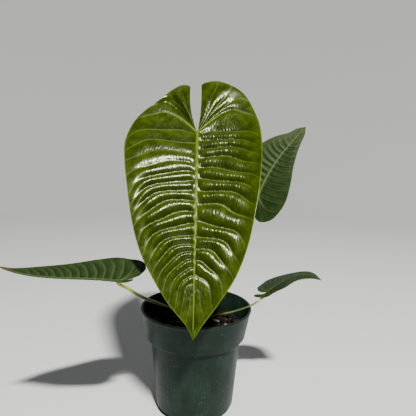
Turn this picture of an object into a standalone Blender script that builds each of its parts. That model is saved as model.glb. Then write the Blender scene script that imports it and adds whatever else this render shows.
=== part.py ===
"""A king-type anthurium with four heart-shaped leaves, in a round plastic nursery pot.

Metres, +Z up. The origin is the centre of the pot's flat underside, which stands on the surface.
-Y is the front: the largest leaf hangs down over that side of the rim.
"""

from math import cos, exp, hypot, pi, radians, sin

import bmesh
import bpy
import numpy as np
from mathutils import Vector, noise

# Driving dimensions
GAP = 0.0003                 # clearance between pieces that touch
RIM_RADIUS = 0.0560          # outside of the pot's lip
POT_HEIGHT = 0.106
BASE_RADIUS = 0.0345         # flat underside
BODY_RADII = (0.0398, 0.0456)   # bottom and top of the tapered body
COLLAR_RADII = (0.0503, 0.0553)  # bottom and top of the tapered collar
CHAMFER_HEIGHT = 0.0055
LEDGE_HEIGHT = 0.0765        # where the body steps out to the collar
WALL = 0.0014
DRAIN_HOLES = 6
DRAIN_RADIUS = 0.0042
MIX_TOP = 0.0855             # the potting mix stops 20 mm below the rim
MIX_DIP = 0.0022             # how deep the hollows in its surface are
CROWN_RADIUS = 0.0066
CROWN_TOP = 0.0985
CROWN_ROOT = 0.0790          # the crown's buried end
LEAF_THICKNESS = 0.0010
PIN = 0.00002                # vertices closer than this are one

# Where the veins leave the midrib, as a share of the blade's length, and how far the vein
# then lifts towards the lobes before it bends to the tip. The first four fan out from the
# petiole into the basal lobe, and there are two pleats from each vein here to the next. The
# reaches say at which share of its width each vein bends.
VEIN_ROOTS = (0, 0, 0, 0, 0.02, 0.13, 0.25, 0.37, 0.49, 0.60, 0.71, 0.82, 1)
VEIN_LIFTS = (-0.14, -0.19, -0.22, -0.21, -0.07, -0.025, -0.01, 0, 0, 0, -0.005, -0.01, 0)
VEIN_REACHES = (1.2, 0.8, 0.62, 0.60, 0.64, 0.72, 0.77, 0.80, 0.82, 0.80, 0.76, 0.72, 0.72)
LOBE_ROUNDING = 0.018        # how far the corner of a lobe is drawn in, as a share of the length

# One leaf each: petiole junction, blade length, heading of the midrib in the plan (degrees
# from +X), its dip below the horizontal, the blade's roll about it, the rise of the two halves
# in degrees, the dip of the lobes, the pleats' depth, and both margins in millimetres as
# (across, along) from the sinus's edge to the tip, one point for each vein above.
LEAVES = {
    "front": dict(
        joint=(-0.0022, 0.008, 0.2805), length=0.197,
        heading=(-90, -90), dip=(50, 66), roll=(0, 0), keel=(6, 5, 3, 3), lobe_dip=60,
        pleat=0.0016, lengthwise=48, across=7,
        margins=(
            ((3.5, -62), (24, -61), (47, -46), (59.5, -15), (62, 14), (60.5, 40), (57, 67),
             (52, 93), (45, 121), (34.5, 147), (20, 169), (7, 186), (0, 197)),
            ((8, -61.5), (21, -56), (40, -37), (59.5, -13), (68, 15), (66.5, 40), (60, 75),
             (54, 102), (46, 126), (35, 147), (20.5, 169), (5.5, 186), (0, 197)),
        ),
    ),
    "back": dict(
        joint=(0.065, 0.040, 0.2155), length=0.092,
        heading=(8, 10, 12), dip=(-70, -60, -50, -46), roll=(60, 60, 60), keel=(9, 8, 4),
        lobe_dip=-72, pleat=0.0010, lengthwise=24, across=5,
        margins=(
            ((3, -24), (12, -27), (23, -20), (31, -8), (34, 6), (33, 19), (30, 32),
             (26.5, 44), (22, 55), (16.5, 65), (9.5, 75), (5.5, 85), (0, 92)),
            ((3, -23), (12, -26), (23, -20), (29, -8), (31, 5), (29.5, 18), (26, 31),
             (21, 43), (16.5, 54), (12, 65), (8, 76), (5, 85), (0, 92)),
        ),
    ),
    "left": dict(
        joint=(-0.0652, -0.066, 0.1525), length=0.096,
        heading=(184, 193, 204, 214), dip=(-7, -5, -13, -32), roll=(-1, -1, -1, -1),
        keel=(19, 19, 17, 12), lobe_dip=18, pleat=0.0010, lengthwise=24, across=5,
        margins=(
            ((2, -8), (6, -9), (12, -8), (19, -4), (25, 4), (27, 14), (27, 26),
             (25.5, 38), (22.5, 50), (17, 62), (10, 73), (3, 84), (0, 96)),
            ((3, -18.5), (10, -23.5), (20, -22), (29, -13.5), (34, -2), (32.5, 9), (27, 23),
             (22, 36), (18.5, 48), (15, 60), (11, 72), (5.5, 83), (0, 96)),
        ),
    ),
    "right": dict(
        joint=(0.074, 0.004, 0.1215), length=0.061,
        heading=(-2, -26, -52), dip=(-38, -27, 16), roll=(10, 4, 5), keel=(-8, -5, -3),
        lobe_dip=0, pleat=0.0008, lengthwise=24, across=4,
        margins=(
            ((3, -9), (9, -10.5), (17, -9), (24, -4), (27, 2), (26.5, 9), (25, 16),
             (22.5, 24), (19, 33), (14, 41), (8.5, 48), (3, 55), (0, 61)),
            ((2.5, -14), (5.5, -16), (7.5, -13), (8, -7), (8, 0), (9.5, 8), (13, 16),
             (16, 24), (16.5, 33), (14.5, 41), (10.5, 48), (4.5, 55), (0, 61)),
        ),
    ),
}

# Petioles: route from the crown to just under the blade, radius at both ends, radius of the
# swollen joint below the blade.
PETIOLES = {
    "front": dict(
        route=((0.0015, 0.0005, 0.0995), (0.001, 0.012, 0.128), (0.000, 0.027, 0.180),
               (-0.001, 0.032, 0.235), (-0.0018, 0.024, 0.268)),
        radii=(0.0030, 0.0019), knuckle=0.0026,
    ),
    "back": dict(
        route=((0.0050, 0.0090, 0.0925), (0.013, 0.021, 0.112), (0.035, 0.043, 0.152),
               (0.054, 0.052, 0.190), (0.062, 0.050, 0.207)),
        radii=(0.0024, 0.0015), knuckle=0.0020,
    ),
    "left": dict(
        route=((-0.0088, -0.0046, 0.0925), (-0.021, -0.011, 0.1040), (-0.035, -0.025, 0.1165),
               (-0.050, -0.044, 0.1308), (-0.0600, -0.057, 0.1430)),
        radii=(0.0020, 0.0014), knuckle=0.0019,
    ),
    "right": dict(
        route=((0.0092, -0.0015, 0.0925), (0.023, -0.005, 0.0980), (0.040, -0.005, 0.1025),
               (0.055, -0.004, 0.1080), (0.067, 0.000, 0.1145)),
        radii=(0.0015, 0.0010), knuckle=0.0014,
    ),
}

# Dry sheaths around the crown: direction in the plan, width in degrees, height, lean outwards
SHEATHS = ((256, 58, 0.027, 0.16), (120, 70, 0.022, 0.22), (314, 42, 0.018, 0.26))

# Aerial roots: from the crown's side over the mix, in the plan
ROOTS = ((24, 0.017), (180, 0.019))

# Bark: place in the plan, length, width, height, turn in degrees. The seed sets their chipping.
CHIP_SEED = 4
BARK = (
    (0.036, -0.022, 0.014, 0.008, 0.0050, 20), (0.026, -0.033, 0.012, 0.008, 0.0046, 75),
    (0.041, 0.004, 0.012, 0.007, 0.0046, 100), (0.034, 0.022, 0.013, 0.008, 0.0050, -35),
    (0.019, 0.036, 0.012, 0.007, 0.0044, 10), (0.000, 0.041, 0.013, 0.008, 0.0050, 170),
    (-0.019, 0.036, 0.012, 0.008, 0.0046, 60), (-0.035, 0.022, 0.013, 0.007, 0.0050, 120),
    (-0.041, 0.001, 0.012, 0.008, 0.0044, 85), (-0.036, -0.021, 0.014, 0.008, 0.0050, 145),
    (-0.020, -0.036, 0.012, 0.007, 0.0046, 30), (0.002, -0.041, 0.013, 0.008, 0.0048, -10),
)
# Pumice: place in the plan, diameter
PUMICE = (
    (0.030, -0.0075, 0.0046), (0.022, -0.020, 0.0040), (-0.023, 0.012, 0.0044),
    (-0.012, -0.024, 0.0042), (0.013, 0.025, 0.0046), (-0.027, -0.008, 0.0040),
)


def clear_scene():
    for obj in list(bpy.data.objects):
        bpy.data.objects.remove(obj)


def material(name, colour, roughness):
    mat = bpy.data.materials.new(name)
    mat.use_nodes = True
    shader = mat.node_tree.nodes["Principled BSDF"]
    shader.inputs["Base Color"].default_value = (*colour, 1)
    shader.inputs["Roughness"].default_value = roughness
    return mat


def add_object(name, bm, mat, sharp_angle=40):
    """Makes a named object of a bmesh, shaded smooth except over its sharp edges."""
    mesh = bpy.data.meshes.new(name)
    bm.to_mesh(mesh)
    bm.free()
    mesh.materials.append(mat)
    mesh.shade_smooth()
    mesh.set_sharp_from_angle(angle=radians(sharp_angle))
    obj = bpy.data.objects.new(name, mesh)
    bpy.context.scene.collection.objects.link(obj)
    return obj


def along(values, share):
    """Catmull-Rom value at a share, 0 to 1, of a list of numbers or points."""
    values = np.asarray(values, float)
    place = np.clip(share, 0, 1) * (len(values) - 1)
    first = min(int(place), len(values) - 2)
    f = place - first
    before = values[max(first - 1, 0)]
    a, b = values[first], values[first + 1]
    after = values[min(first + 2, len(values) - 1)]
    return 0.5 * (2 * a + (b - before) * f + (2 * before - 5 * a + 4 * b - after) * f * f
                  + (3 * a - before - 3 * b + after) * f ** 3)


def turned(profile, steps):
    """A solid turned about Z: a profile of (radius, height) points, from axis to axis."""
    bm = bmesh.new()
    verts = [bm.verts.new((r, 0, z)) for r, z in profile]
    edges = [bm.edges.new(pair) for pair in zip(verts, verts[1:])]
    bmesh.ops.spin(bm, geom=verts + edges, cent=(0, 0, 0), axis=(0, 0, 1), dvec=(0, 0, 0),
                   angle=2 * pi, steps=steps, use_merge=True, use_duplicate=False)
    bmesh.ops.remove_doubles(bm, verts=bm.verts, dist=PIN)
    bmesh.ops.recalc_face_normals(bm, faces=bm.faces)
    return bm


def pot_inside():
    """The pot's inner wall, from the centre of its floor to the inside of the lip."""
    return [
        (0, WALL), (BASE_RADIUS - WALL / 2, WALL),
        (BODY_RADII[0] - WALL, CHAMFER_HEIGHT + WALL / 2),
        (BODY_RADII[1] - WALL, LEDGE_HEIGHT + WALL / 2),
        (COLLAR_RADII[0] - WALL, LEDGE_HEIGHT + WALL),
        (COLLAR_RADII[1] - WALL, POT_HEIGHT),
    ]


def pot_outside():
    lip = 0.0016
    return [
        (RIM_RADIUS - 0.0004, POT_HEIGHT), (RIM_RADIUS, POT_HEIGHT - 0.0004),
        (RIM_RADIUS, POT_HEIGHT - lip), (COLLAR_RADII[1], POT_HEIGHT - lip - 0.0012),
        (COLLAR_RADII[0], LEDGE_HEIGHT + 0.0012), (COLLAR_RADII[0] - 0.0010, LEDGE_HEIGHT),
        (BODY_RADII[1], LEDGE_HEIGHT - 0.0006), (BODY_RADII[0], CHAMFER_HEIGHT),
        (BASE_RADIUS, 0), (0, 0),
    ]


def build_pot():
    bm = turned(pot_inside() + pot_outside(), 48)
    pot = add_object("nursery_pot", bm, material("pot", (0.012, 0.040, 0.027), 0.42), 25)
    cutter = bmesh.new()
    for k in range(DRAIN_HOLES):
        turn = 2 * pi * (k + 0.5) / DRAIN_HOLES
        reach = BASE_RADIUS - 0.0085
        made = bmesh.ops.create_cone(cutter, cap_ends=True, segments=12, radius1=DRAIN_RADIUS,
                                     radius2=DRAIN_RADIUS, depth=WALL * 4)
        bmesh.ops.translate(cutter, verts=made["verts"],
                            vec=(reach * cos(turn), reach * sin(turn), 0))
    holes = add_object("drain_cutter", cutter, pot.data.materials[0])
    holes.hide_render = True
    holes.display_type = "WIRE"
    cut = pot.modifiers.new("drain holes", "BOOLEAN")
    cut.operation = "DIFFERENCE"
    cut.object = holes


def build_mix():
    """Bark mix: it follows the pot's wall, its surface is uneven, and it has a pit for the crown."""
    side = [(r - GAP * 1.5 if r else 0, z + GAP) for r, z in pot_inside()[:5]]
    r_low, z_low = side[-1]
    slope = (COLLAR_RADII[1] - COLLAR_RADII[0]) / (POT_HEIGHT - LEDGE_HEIGHT)
    edge = r_low + (MIX_TOP - z_low) * slope - GAP
    pit = CROWN_RADIUS + 0.0010
    top = [(edge * s, MIX_TOP) for s in (1, 0.84, 0.68, 0.52, 0.36)]
    middle = [(pit + 0.0014, MIX_TOP), (pit, MIX_TOP - 0.0010), (pit, CROWN_ROOT - GAP * 2),
              (0, CROWN_ROOT - GAP * 2)]
    bm = turned(side + top + middle, 32)
    for v in bm.verts:
        reach = hypot(v.co.x, v.co.y)
        if abs(v.co.z - MIX_TOP) < PIN and pit + 0.002 < reach:
            lump = noise.noise(Vector((v.co.x, v.co.y, 0)) * 140)
            v.co.z -= MIX_DIP * (0.5 + 0.5 * lump)
    add_object("potting_mix", bm, material("potting_mix", (0.022, 0.014, 0.009), 0.95), 60)


def build_crown():
    """The short stem: rings of old leaf scars under a blunt growing tip."""
    rings = 4
    profile = [(0, CROWN_ROOT), (CROWN_RADIUS * 0.8, CROWN_ROOT)]
    step = (CROWN_TOP - 0.003 - CROWN_ROOT) / rings
    for k in range(rings):
        base = CROWN_ROOT + step * k
        profile += [(CROWN_RADIUS * 0.90, base + step * 0.25),
                    (CROWN_RADIUS, base + step * 0.75)]
    profile += [(CROWN_RADIUS * 0.75, CROWN_TOP - 0.0012), (0, CROWN_TOP)]
    bm = turned(profile, 20)
    add_object("crown", bm, material("crown", (0.16, 0.17, 0.05), 0.6))


class Blade:
    """A leaf blade laid along its curved midrib. x is across, y is from petiole to tip."""

    SAMPLES = 240

    def __init__(self, leaf):
        self.length = leaf["length"]
        lowest = min(y for side in leaf["margins"] for _, y in side) / 1000
        self.places = np.linspace(lowest, self.length, self.SAMPLES)
        shares = self.places / self.length
        dips = [self.dip_at(leaf, share, lowest) for share in shares]
        self.runs = [self.run(leaf["heading"], dip, share) for dip, share in zip(dips, shares)]
        steps = np.diff(self.places)[:, None] * (np.array(self.runs[1:]) + self.runs[:-1]) / 2
        line = np.vstack([np.zeros(3), np.cumsum(steps, axis=0)])
        start = [np.interp(0, self.places, line[:, k]) for k in range(3)]
        self.line = line - start + leaf["joint"]
        self.rolls = [radians(float(along(leaf["roll"], share))) for share in shares]
        self.keels = [radians(float(along(leaf["keel"], share))) for share in shares]

    def dip_at(self, leaf, share, lowest):
        if share >= 0:
            return float(along(leaf["dip"], share))
        lean = min(2 * share * self.length / lowest, 1)
        return leaf["dip"][0] + (leaf["lobe_dip"] - leaf["dip"][0]) * lean

    def run(self, heading, dip, share):
        turn, fall = radians(float(along(heading, share))), radians(dip)
        return (cos(fall) * cos(turn), cos(fall) * sin(turn), -sin(fall))

    def point(self, x, y, rise=0.0):
        """The place in space of a point of the flat blade, raised off its surface."""
        k = int(np.clip(np.searchsorted(self.places, y), 1, self.SAMPLES - 1))
        f = (y - self.places[k - 1]) / (self.places[k] - self.places[k - 1])
        centre = Vector(self.line[k - 1]).lerp(Vector(self.line[k]), f)
        run = Vector(self.runs[k - 1]).lerp(Vector(self.runs[k]), f).normalized()
        level = Vector((0, 0, 1)).cross(run).normalized()
        up = run.cross(level)
        roll, keel = self.rolls[k], self.keels[k]
        side = level * cos(roll) + up * sin(roll)
        out = up * cos(roll) - level * sin(roll)
        sway = -sin(keel) if x > 0 else sin(keel)
        return (centre + side * (x * cos(keel)) + out * (abs(x) * sin(keel))
                + (out * cos(keel) + side * sway) * rise)


def vein_point(leaf, row, across):
    """The flat point at a share of the way from midrib to margin along the vein of a row."""
    side = leaf["margins"][0 if across > 0 else 1]
    end = np.array(along(side, row)) / 1000
    root = max(float(along(VEIN_ROOTS, row)), 0) * leaf["length"]
    lift = float(along(VEIN_LIFTS, row)) * leaf["length"]
    s = abs(across)
    bend = np.array((end[0] * float(along(VEIN_REACHES, row)), root + lift))
    flat = np.array((0, root)) * (1 - s) ** 2 + bend * 2 * s * (1 - s) + end * s * s
    flat[1] += LOBE_ROUNDING * leaf["length"] * exp(-36 * row) * s ** 6
    return (flat[0] if across > 0 else -flat[0]), flat[1]


def build_leaf(name, leaf, mat):
    """A pleated heart-shaped blade: its rows follow the veins, its columns run lengthwise."""
    blade = Blade(leaf)
    rows, half = leaf["lengthwise"], leaf["across"]
    bm = bmesh.new()
    bmesh.ops.create_grid(bm, x_segments=half * 2, y_segments=rows, size=1)
    for v in bm.verts:
        row, across = (v.co.y + 1) / 2, v.co.x
        s = abs(across)
        x, y = vein_point(leaf, row, across)
        wave = 0.5 - 0.5 * cos(2 * pi * row * rows / 2)
        swell = min(s * 5, 1) * (1 - s ** 3) * min((1 - row) * 6, 1)
        v.co = blade.point(x, y, leaf["pleat"] * wave * swell)
    bmesh.ops.remove_doubles(bm, verts=bm.verts, dist=PIN)
    obj = add_object(name, bm, mat, 180)
    thicken = obj.modifiers.new("thickness", "SOLIDIFY")
    thicken.thickness = LEAF_THICKNESS
    thicken.offset = 0
    return blade


def build_petiole(name, petiole, leaf, blade, mat):
    """A round stalk that ends square under the blade's petiole junction."""
    joint, above = blade.point(0, 0), blade.point(0, 0, 1)
    out = (above - joint).normalized()
    stand = LEAF_THICKNESS / 2 + GAP + petiole["knuckle"] * 0.45
    route = [Vector(p) for p in petiole["route"]]
    route += [joint - out * (stand + petiole["knuckle"] * 1.2), joint - out * stand]
    curve = bpy.data.curves.new(name, "CURVE")
    curve.dimensions = "3D"
    curve.bevel_depth = 1
    curve.bevel_resolution = 2
    curve.use_fill_caps = True
    count = 26
    spline = curve.splines.new("POLY")
    spline.points.add(count - 1)
    for k, point in enumerate(spline.points):
        share = k / (count - 1)
        point.co = (*along(route, share), 1)
        swell = np.interp(share, (0, 0.12, 0.80, 0.90, 1), (1, 0.35, 0, 0.9, 1))
        thin = petiole["radii"][1]
        thick = petiole["radii"][0] if share < 0.5 else petiole["knuckle"]
        point.radius = thin + (thick - thin) * swell
    curve.materials.append(mat)
    obj = bpy.data.objects.new(name, curve)
    bpy.context.scene.collection.objects.link(obj)


def build_sheath(name, spec, mat):
    """A dry papery scale that hugs the crown and comes to a point."""
    turn, width, height, lean = spec
    bm = bmesh.new()
    bmesh.ops.create_grid(bm, x_segments=6, y_segments=6, size=1)
    base = MIX_TOP + 0.0009
    for v in bm.verts:
        up = (v.co.y + 1) / 2
        narrow = 1 - up ** 1.6
        angle = radians(turn + v.co.x * width / 2 * narrow)
        reach = CROWN_RADIUS + 0.0014 + height * lean * up ** 2
        v.co = (reach * cos(angle), reach * sin(angle), base + height * up)
    bmesh.ops.remove_doubles(bm, verts=bm.verts, dist=PIN)
    obj = add_object(name, bm, mat, 180)
    thicken = obj.modifiers.new("thickness", "SOLIDIFY")
    thicken.thickness = 0.0006
    thicken.offset = 1


def build_root(name, spec, mat):
    """A stout aerial root that leaves the crown and dives for the mix."""
    turn, length = radians(spec[0]), spec[1]
    curve = bpy.data.curves.new(name, "CURVE")
    curve.dimensions = "3D"
    curve.bevel_depth = 0.0013
    curve.bevel_resolution = 1
    curve.use_fill_caps = True
    count = 8
    spline = curve.splines.new("POLY")
    spline.points.add(count - 1)
    for k, point in enumerate(spline.points):
        share = k / (count - 1)
        reach = CROWN_RADIUS + 0.0036 + length * share
        height = MIX_TOP + 0.0017 + 0.0022 * cos(share * pi / 2)
        point.co = (reach * cos(turn), reach * sin(turn), height, 1)
        point.radius = 1 - 0.35 * share
    curve.materials.append(mat)
    obj = bpy.data.objects.new(name, curve)
    bpy.context.scene.collection.objects.link(obj)


def build_bark(name, spec, mat):
    """A chip of bark: a slab with chipped, uneven corners."""
    x, y, length, width, height, turn = spec
    bm = bmesh.new()
    bmesh.ops.create_cube(bm, size=1)
    bmesh.ops.bevel(bm, geom=bm.edges[:], offset=0.16, offset_type="OFFSET", segments=1,
                    profile=0.5, affect="EDGES", clamp_overlap=True, material=-1)
    for v in bm.verts:
        jag = noise.noise_vector(v.co * 2.3 + Vector((x, y, 0)) * 900) * 0.16
        v.co = Vector(((v.co.x + jag.x) * length, (v.co.y + jag.y) * width, v.co.z * height))
    bmesh.ops.triangulate(bm, faces=bm.faces)
    obj = add_object(name, bm, mat)
    obj.location = (x, y, MIX_TOP + GAP + height / 2)
    obj.rotation_euler = (0, 0, radians(turn))


def build_pumice(name, spec, mat):
    x, y, size = spec
    bm = bmesh.new()
    bmesh.ops.create_icosphere(bm, subdivisions=1, radius=size / 2)
    for v in bm.verts:
        v.co *= 1 + 0.22 * noise.noise(v.co * 700 + Vector((x, y, 0)) * 900)
    lowest = min(v.co.z for v in bm.verts)
    bmesh.ops.translate(bm, verts=bm.verts, vec=(x, y, MIX_TOP + GAP - lowest))
    add_object(name, bm, mat, 60)


def build_plant():
    fresh = material("young_leaf", (0.085, 0.180, 0.008), 0.28)
    mature = material("mature_leaf", (0.030, 0.080, 0.022), 0.42)
    stalk = material("petiole", (0.090, 0.170, 0.020), 0.45)
    for name, leaf in LEAVES.items():
        blade = build_leaf(f"leaf_{name}", leaf, fresh if name == "front" else mature)
        build_petiole(f"petiole_{name}", PETIOLES[name], leaf, blade, stalk)
    dry = material("dry_sheath", (0.20, 0.11, 0.045), 0.85)
    for k, spec in enumerate(SHEATHS, 1):
        build_sheath(f"cataphyll_{k}", spec, dry)
    root = material("aerial_root", (0.30, 0.27, 0.16), 0.8)
    for k, spec in enumerate(ROOTS, 1):
        build_root(f"aerial_root_{k}", spec, root)


def build_topping():
    noise.seed_set(CHIP_SEED)
    bark = material("bark", (0.075, 0.040, 0.020), 0.9)
    for k, spec in enumerate(BARK, 1):
        build_bark(f"bark_chip_{k:02d}", spec, bark)
    pumice = material("pumice", (0.42, 0.38, 0.30), 0.95)
    for k, spec in enumerate(PUMICE, 1):
        build_pumice(f"pumice_grain_{k}", spec, pumice)


clear_scene()
build_pot()
build_mix()
build_crown()
build_plant()
build_topping()
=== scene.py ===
# Potted anthurium: a young plant with four pleated, heart-shaped leaves in a round nursery pot.
# Metres, +Z up. The pot stands on the origin and the largest leaf hangs over its rim towards -Y.
from math import cos, pi, radians, sin, tan

import bmesh
import bpy
import numpy as np
from mathutils import Matrix, Vector, noise


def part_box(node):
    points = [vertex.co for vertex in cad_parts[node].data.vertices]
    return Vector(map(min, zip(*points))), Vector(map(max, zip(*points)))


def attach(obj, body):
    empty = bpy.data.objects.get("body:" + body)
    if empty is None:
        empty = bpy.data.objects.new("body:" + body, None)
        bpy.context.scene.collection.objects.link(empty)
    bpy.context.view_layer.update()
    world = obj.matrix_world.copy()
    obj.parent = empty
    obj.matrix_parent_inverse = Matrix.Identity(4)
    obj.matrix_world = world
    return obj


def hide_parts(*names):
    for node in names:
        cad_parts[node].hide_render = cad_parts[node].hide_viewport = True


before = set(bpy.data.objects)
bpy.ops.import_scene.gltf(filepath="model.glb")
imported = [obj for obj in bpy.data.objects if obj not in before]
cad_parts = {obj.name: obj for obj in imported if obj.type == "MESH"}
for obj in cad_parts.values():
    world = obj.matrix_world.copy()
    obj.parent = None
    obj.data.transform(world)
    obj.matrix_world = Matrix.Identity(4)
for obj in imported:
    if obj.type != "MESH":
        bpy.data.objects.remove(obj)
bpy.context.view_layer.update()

# ---------------------------------------------------------------------------------------------
# Nursery pot. One thin shell of dark green moulded plastic: a slim tapered body, a ledge that
# stacked pots rest on, a wider collar with a small lip, and six drain holes in its floor. It has
# been used: dried water leaves pale specks and runs, and handling leaves fine scratches.
POT_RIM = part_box("nursery_pot")[1].x
POT_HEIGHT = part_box("nursery_pot")[1].z
POT_BASE = 0.0345
POT_BODY = (0.0398, 0.0456)
POT_COLLAR = (0.0503, 0.0553)
POT_LEDGE = 0.0765
POT_CHAMFER = 0.0055
POT_WALL = 0.0014
POT_LIP = 0.0016
POT_SLOPE = 0.0010           # the slant under the lip and at the foot of the collar
POT_EDGE = 0.00038
DRAIN_HOLES = 6
DRAIN_RADIUS = 0.0042
DRAIN_INSET = 0.0085
MERGE = 0.00002


def wall_inside(height):
    """The radius of the pot's inner wall at a height above its ledge."""
    share = (height - POT_LEDGE - POT_WALL) / (POT_HEIGHT - POT_LEDGE - POT_WALL)
    return POT_COLLAR[0] - POT_WALL + (POT_COLLAR[1] - POT_COLLAR[0]) * share


def turned(profile, steps):
    """A shape turned about Z from a profile of (radius, height) points."""
    bm = bmesh.new()
    verts = [bm.verts.new((r, 0, z)) for r, z in profile]
    edges = [bm.edges.new(pair) for pair in zip(verts, verts[1:])]
    bmesh.ops.spin(bm, geom=verts + edges, cent=(0, 0, 0), axis=(0, 0, 1), dvec=(0, 0, 0),
                   angle=2 * pi, steps=steps, use_merge=True, use_duplicate=False)
    bmesh.ops.remove_doubles(bm, verts=bm.verts, dist=MERGE)
    bmesh.ops.recalc_face_normals(bm, faces=bm.faces)
    return bm


def soften(bm, angle, offset):
    """Rounds every edge sharper than an angle in degrees."""
    sharp = [e for e in bm.edges if len(e.link_faces) == 2 and e.calc_face_angle() > radians(angle)]
    bmesh.ops.bevel(bm, geom=sharp, offset=offset, segments=3, profile=0.5,
                    affect="EDGES", material=-1, clamp_overlap=True)


def shown(name, bm, finish):
    """Makes a named, smooth object of a bmesh, in one finish."""
    mesh = bpy.data.meshes.new(name)
    bm.to_mesh(mesh)
    bm.free()
    mesh.materials.append(finish.material)
    mesh.shade_smooth()
    obj = bpy.data.objects.new(name, mesh)
    bpy.context.scene.collection.objects.link(obj)
    return obj


def piece(name, bm, finish, node=None, smooth_under=180):
    """Makes a piece that rides on the part and may stand for a CAD node. Edges sharper than
    smooth_under degrees stay crisp."""
    obj = shown(name, bm, finish)
    if smooth_under < 180:
        obj.data.set_sharp_from_angle(angle=radians(smooth_under))
    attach(obj, "root")
    if node:
        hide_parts(node)
    return obj


class Finish:
    """A material with one Principled shader, and short ways to add the nodes behind it."""

    def __init__(self, name, **sockets):
        self.material = bpy.data.materials.new(name)
        self.material.use_nodes = True
        self.tree = self.material.node_tree
        self.shader = self.tree.nodes["Principled BSDF"]
        for socket, value in sockets.items():
            self.put(self.shader, socket.replace("_", " "), value)

    def put(self, node, socket, value):
        """Links a socket to another, or gives it a number or a colour."""
        if isinstance(value, bpy.types.NodeSocket):
            self.tree.links.new(value, node.inputs[socket])
        elif isinstance(value, tuple) and len(value) == 3 and node.inputs[socket].type == "RGBA":
            node.inputs[socket].default_value = (*value, 1)
        else:
            node.inputs[socket].default_value = value

    def add(self, kind, sockets, **settings):
        """Adds a shader node with its sockets filled and its settings made."""
        node = self.tree.nodes.new("ShaderNode" + kind)
        for setting, value in settings.items():
            setattr(node, setting, value)
        for socket, value in sockets.items():
            self.put(node, socket, value)
        return node

    def place(self, scale=(1, 1, 1), uv=None):
        """Object coordinates, or a UV map's, stretched by a scale."""
        if uv:
            start = self.add("UVMap", {}, uv_map=uv).outputs[0]
        else:
            start = self.add("TexCoord", {}).outputs["Object"]
        return self.add("Mapping", {"Vector": start, "Scale": scale}).outputs[0]

    def read(self, attribute):
        return self.add("Attribute", {}, attribute_name=attribute).outputs["Fac"]

    def noise(self, place, scale, detail=3, roughness=0.5):
        return self.add("TexNoise", {"Vector": place, "Scale": scale, "Detail": detail,
                                     "Roughness": roughness}).outputs[0]

    def cells(self, place, scale, feature="F1"):
        return self.add("TexVoronoi", {"Vector": place, "Scale": scale}, feature=feature)

    def sum(self, a, b):
        return self.add("Math", {0: a, 1: b}, operation="ADD").outputs[0]

    def times(self, a, b):
        return self.add("Math", {0: a, 1: b}, operation="MULTIPLY").outputs[0]

    def fit(self, value, low, high, to_low=0.0, to_high=1.0):
        """Maps a value from one range onto another, smoothly and clamped."""
        return self.add("MapRange", {"Value": value, "From Min": low, "From Max": high,
                                     "To Min": to_low, "To Max": to_high},
                        interpolation_type="SMOOTHSTEP").outputs[0]

    def blend(self, factor, a, b):
        """Mixes two colours, each a triple or a socket."""
        mix = self.add("Mix", {}, data_type="RGBA")
        for socket, value in ((0, factor), (6, a), (7, b)):
            if isinstance(value, tuple):
                value = (*value, 1)
            self.put(mix, socket, value)
        return mix.outputs[2]

    def bump(self, height, distance, strength=1.0, under=None):
        sockets = {"Height": height, "Distance": distance, "Strength": strength}
        if under is not None:
            sockets["Normal"] = under
        return self.add("Bump", sockets).outputs[0]

    def wear(self, **sockets):
        """Links the finished sockets of the shader."""
        for socket, value in sockets.items():
            self.put(self.shader, socket.replace("_", " "), value)


def pot_plastic():
    finish = Finish("pot_plastic", Specular_IOR_Level=0.12)
    spot = finish.place()
    runs = finish.noise(finish.place((1, 1, 0.06)), 420, 4, 0.6)
    cloud = finish.noise(spot, 38, 4, 0.6)
    base = finish.blend(finish.fit(cloud, 0.35, 0.7), (0.0065, 0.0175, 0.0115),
                        (0.0130, 0.0290, 0.0200))
    film = finish.times(finish.fit(runs, 0.46, 0.78), finish.fit(cloud, 0.38, 0.62, 0.10, 0.55))
    dusty = finish.blend(film, base, (0.034, 0.056, 0.043))
    drops = finish.cells(spot, 420)
    size = finish.fit(finish.add("SeparateColor", {0: drops.outputs["Color"]}).outputs[0],
                      0.60, 1.0, 0.0, 0.22)
    near = finish.add("Math", {0: drops.outputs["Distance"], 1: size}, operation="LESS_THAN")
    specks = finish.times(near.outputs[0], finish.fit(finish.noise(spot, 60, 2), 0.42, 0.6))
    speckled = finish.blend(finish.times(specks, 0.26), dusty, (0.33, 0.38, 0.34))
    scratch = finish.noise(finish.place((0.25, 0.25, 3.2)), 900, 2)
    rough = finish.sum(finish.fit(runs, 0.3, 0.8, 0.36, 0.50),
                       finish.fit(scratch, 0.62, 0.72, 0.0, 0.12))
    grain = finish.bump(finish.noise(spot, 2600, 3), 0.00003, 0.6)
    finish.wear(Base_Color=speckled, Roughness=rough,
                Normal=finish.bump(scratch, 0.00004, 0.5, grain))
    return finish


pot_floor = [(0, POT_WALL), (POT_BASE - POT_WALL / 2, POT_WALL)]
pot_inner = [(POT_BODY[0] - POT_WALL, POT_CHAMFER + POT_WALL / 2),
             (POT_BODY[1] - POT_WALL, POT_LEDGE + POT_WALL / 2),
             (POT_COLLAR[0] - POT_WALL, POT_LEDGE + POT_WALL),
             (POT_COLLAR[1] - POT_WALL, POT_HEIGHT)]
pot_outer = [(POT_RIM, POT_HEIGHT), (POT_RIM, POT_HEIGHT - POT_LIP),
             (POT_COLLAR[1], POT_HEIGHT - POT_LIP - POT_SLOPE),
             (POT_COLLAR[0], POT_LEDGE + POT_SLOPE), (POT_COLLAR[0] - 0.0012, POT_LEDGE),
             (POT_BODY[1], POT_LEDGE - 0.0004), (POT_BODY[0], POT_CHAMFER), (POT_BASE, 0),
             (POT_BASE - 0.003, 0), (0, 0)]
bm = turned(pot_floor + pot_inner + pot_outer, 144)
soften(bm, 14, POT_EDGE)
pot = piece("pot_shell", bm, pot_plastic(), "nursery_pot", 30)

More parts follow.
